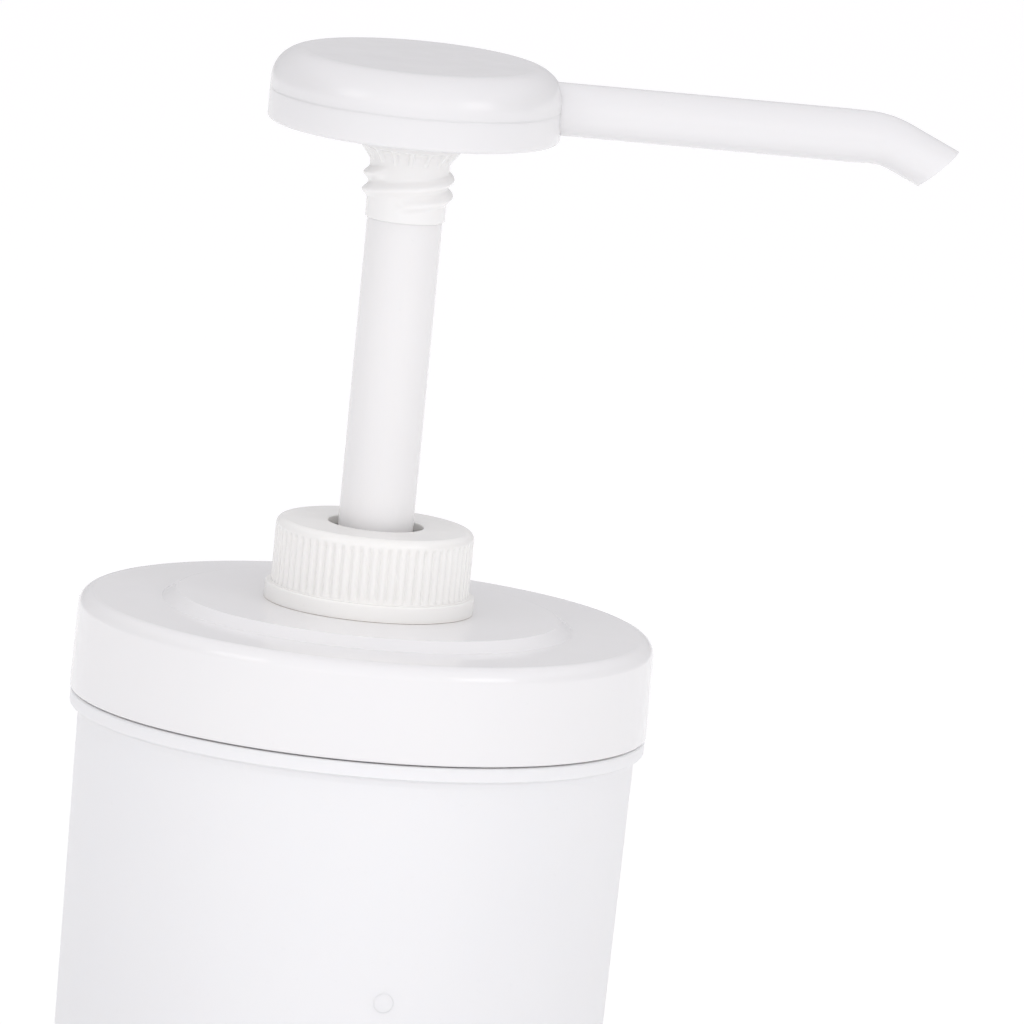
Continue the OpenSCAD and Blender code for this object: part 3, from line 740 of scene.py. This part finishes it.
def build_floor():
    """A matt pale floor that glows, except close to the object and far away."""
    material = bpy.data.materials.new("studio_floor")
    material.use_nodes = True
    tree = material.node_tree
    shader = tree.nodes["Principled BSDF"]
    noise = tree.nodes.new("ShaderNodeTexNoise")
    noise.inputs["Scale"].default_value = 3
    ramp = tree.nodes.new("ShaderNodeMapRange")
    ramp.inputs["To Min"].default_value = 0.58
    ramp.inputs["To Max"].default_value = 0.68
    tree.links.new(noise.outputs["Fac"], ramp.inputs["Value"])
    tree.links.new(ramp.outputs["Result"], shader.inputs["Roughness"])
    shader.inputs["Base Color"].default_value = (0.78, 0.78, 0.78, 1)
    shader.inputs["Specular IOR Level"].default_value = 0.0
    shader.inputs["Emission Color"].default_value = (1, 1, 1, 1)
    away = tree.nodes.new("ShaderNodeVectorMath")
    away.operation = "LENGTH"
    tree.links.new(tree.nodes.new("ShaderNodeTexCoord").outputs["Object"], away.inputs[0])
    fades = []
    for start, end, inside, outside in ((*GLOW_START, 0.0, FLOOR_GLOW), (*GLOW_END, 1.0, 0.0)):
        fade = tree.nodes.new("ShaderNodeMapRange")
        fade.interpolation_type = "SMOOTHSTEP"
        for name, number in zip(("From Min", "From Max", "To Min", "To Max"), (start, end, inside, outside)):
            fade.inputs[name].default_value = number
        tree.links.new(away.outputs["Value"], fade.inputs["Value"])
        fades.append(fade.outputs["Result"])
    glow = tree.nodes.new("ShaderNodeMath")
    glow.operation = "MULTIPLY"
    for socket, fade in zip(glow.inputs, fades):
        tree.links.new(fade, socket)
    tree.links.new(glow.outputs[0], shader.inputs["Emission Strength"])
    bm = bmesh.new()
    bmesh.ops.create_circle(bm, cap_ends=True, radius=9, segments=96)
    mesh = bpy.data.meshes.new("floor")
    bm.to_mesh(mesh)
    bm.free()
    mesh.materials.append(material)
    floor = bpy.data.objects.new("floor", mesh)
    bpy.context.scene.collection.objects.link(floor)


SKY = {"front": 1.175, "side": 0.10, "back": 0.605, "top": 0.92}   # how bright each part of the studio is
SKY_TINT = (1.0, 0.988, 1.012, 1)
BOX_WATTS = {"left_box": 1.5, "right_box": 1.975}


def build_world():
    """A pale studio with its own brightness in front, at the sides, behind and overhead."""
    world = bpy.data.worlds.new("studio")
    bpy.context.scene.world = world
    world.use_nodes = True
    tree = world.node_tree
    split = tree.nodes.new("ShaderNodeSeparateXYZ")
    tree.links.new(tree.nodes.new("ShaderNodeTexCoord").outputs["Generated"], split.inputs[0])

    def ramp(axis, start, end, low_value, high_value):
        node = tree.nodes.new("ShaderNodeMapRange")
        node.interpolation_type = "SMOOTHSTEP"
        numbers = (start, end, low_value, high_value)
        for name, number in zip(("From Min", "From Max", "To Min", "To Max"), numbers):
            node.inputs[name].default_value = number
        tree.links.new(split.outputs[axis], node.inputs["Value"])
        return node.outputs["Result"]

    def sum_of(operation, a, b):
        node = tree.nodes.new("ShaderNodeMath")
        node.operation = operation
        tree.links.new(a, node.inputs[0])
        tree.links.new(b, node.inputs[1])
        return node.outputs[0]

    front, back = ramp("Y", 0, -1, SKY["side"], SKY["front"]), ramp("Y", 0, 1, 0, SKY["back"] - SKY["side"])
    walls = sum_of("ADD", front, back)
    walls = sum_of("MULTIPLY", walls, ramp("Z", 0.25, 0.75, 1, 0))
    sky = sum_of("ADD", walls, ramp("Z", 0.25, 0.75, 0, SKY["top"]))
    background = tree.nodes["Background"]
    tree.links.new(sky, background.inputs["Strength"])
    background.inputs["Color"].default_value = SKY_TINT


def softbox(name, azimuth, elevation, distance, width, height):
    """A rectangular light at an azimuth from the front, aimed at the middle of the object."""
    a, e = math.radians(azimuth), math.radians(elevation)
    aim = Vector((0, 0, 0.19))
    place = aim + Vector((math.sin(a) * math.cos(e), -math.cos(a) * math.cos(e), math.sin(e))) * distance
    light = bpy.data.lights.new(name, "AREA")
    light.shape = "RECTANGLE"
    light.size, light.size_y = width, height
    light.energy = BOX_WATTS[name]
    obj = bpy.data.objects.new(name, light)
    obj.matrix_world = Matrix.Translation(place) @ (aim - place).to_track_quat("-Z", "Y").to_matrix().to_4x4()
    bpy.context.scene.collection.objects.link(obj)


def build_lights():
    softbox("left_box", -54, 24, 1.4, 0.55, 0.55)
    softbox("right_box", 50, 22, 1.4, 0.55, 0.55)


def build_camera():
    """Long lens a little above the table, with the object leaning to the right in the frame."""
    azimuth, elevation, roll = math.radians(-2), math.radians(9.5), math.radians(5.5)
    scale, distance, sensor, frame_px = 5030.0, 4.0, 36.0, 1024
    level_right = Vector((math.cos(azimuth), math.sin(azimuth), 0))
    forward = Vector((-math.sin(azimuth), math.cos(azimuth), 0))
    look = forward * math.cos(elevation) - Vector((0, 0, 1)) * math.sin(elevation)
    level_up = level_right.cross(look)
    right = level_right * math.cos(roll) + level_up * math.sin(roll)
    up = level_up * math.cos(roll) - level_right * math.sin(roll)
    aim = Vector((0, 0, LID_EDGE_Z)) + right * 0.0306 + up * 0.0393
    data = bpy.data.cameras.new("camera")
    data.sensor_width = sensor
    data.lens = sensor * scale * distance / frame_px
    data.clip_end = 80
    camera = bpy.data.objects.new("camera", data)
    axes = Matrix((right, up, -look)).transposed().to_4x4()
    camera.matrix_world = Matrix.Translation(aim - look * distance) @ axes
    bpy.context.scene.collection.objects.link(camera)
    bpy.context.scene.camera = camera


def main():
    build_camera()
    materials = make_materials()
    paint_frame(materials)
    build_jar(materials)
    build_jar_mark(materials)
    build_lid(materials)
    build_cap(materials)
    build_stem(materials)
    build_head_pan(materials)
    build_head_cover(materials)
    build_spout(materials)
    build_spring(materials)
    build_world()
    build_floor()
    build_lights()
    view = bpy.context.scene.view_settings
    view.view_transform = "Standard"
    view.look = "None"


main()
